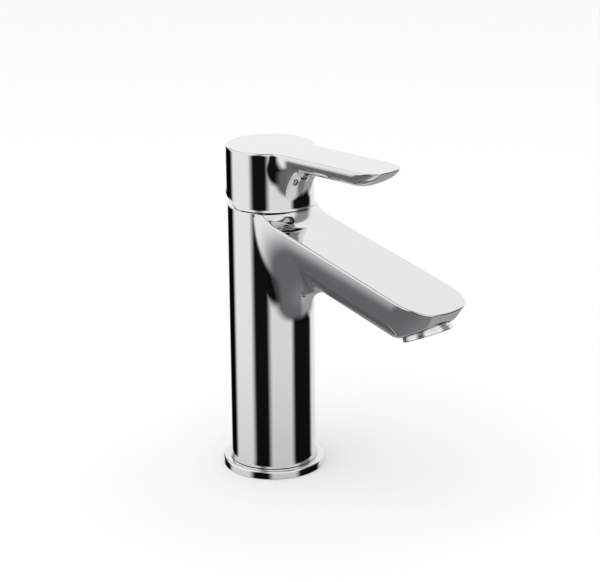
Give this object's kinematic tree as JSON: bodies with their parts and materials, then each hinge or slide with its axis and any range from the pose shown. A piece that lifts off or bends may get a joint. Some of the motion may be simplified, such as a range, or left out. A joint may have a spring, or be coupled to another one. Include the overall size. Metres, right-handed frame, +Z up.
{
  "type": "bathroom mixer faucet",
  "caption": "Single-lever basin mixer: round column on a base ring, flat-topped hull-shaped spout falling to a tilted aerator, and a flat lever above a ceramic cartridge.",
  "frame": {"origin": "on the column's axis, in the plane of the deck under the base ring", "axes": "+X along the spout towards the outlet, +Z up, +Y to the left seen from behind the faucet"},
  "size_m": [0.1542, 0.055, 0.1793],
  "materials": {
    "chrome": "polished",
    "brass": "turned",
    "white_plastic": "moulded",
    "grey_plastic": "moulded",
    "blue_plastic": "moulded",
    "ceramic": "lapped ceramic",
    "rubber": "moulded",
    "steel": "ground"
  },
  "bodies": {
    "faucet": {"body": "chrome", "base_ring": "chrome", "base_gasket": "rubber", "base_o_ring": "rubber", "cartridge_base": "white_plastic", "port_seals": "rubber", "disc_seals": "rubber", "fixed_disc": "ceramic", "cartridge_housing": "white_plastic", "cartridge_nut": "brass", "glide_ring": "white_plastic", "hot_limit_ring": "blue_plastic", "cover_dome": "chrome", "aerator_shell": "chrome", "aerator_insert": "grey_plastic", "aerator_screen": "steel", "flow_regulator": "white_plastic", "aerator_washer": "rubber"},
    "turret": {"rotor": "white_plastic", "lever_pin": "steel"},
    "mixing_disc": {"moving_disc": "ceramic", "disc_carrier": "grey_plastic"},
    "lever": {"spindle": "brass", "lever_handle": "chrome", "handle_insert": "grey_plastic", "handle_screw": "steel", "index_plug": "grey_plastic"}
  },
  "joints": [
    {"name": "lever_turn", "type": "hinge", "parent": "faucet", "child": "turret", "pos_m": [0, 0, 0.1415], "axis": [0, 0, 1], "range_deg": [-45, 45]},
    {"name": "lever_lift", "type": "hinge", "parent": "turret", "child": "lever", "pos_m": [0, 0, 0.1415], "axis": [0, -1, 0], "range_deg": [0, 20]},
    {"name": "disc_slide", "type": "slide", "parent": "turret", "child": "mixing_disc", "axis": [1, 0, 0], "range_m": [0, 0.00345]}
  ],
  "couplings": [
    {"joint": "disc_slide", "follows": "lever_lift", "m_per_rad": 0.0098}
  ]
}
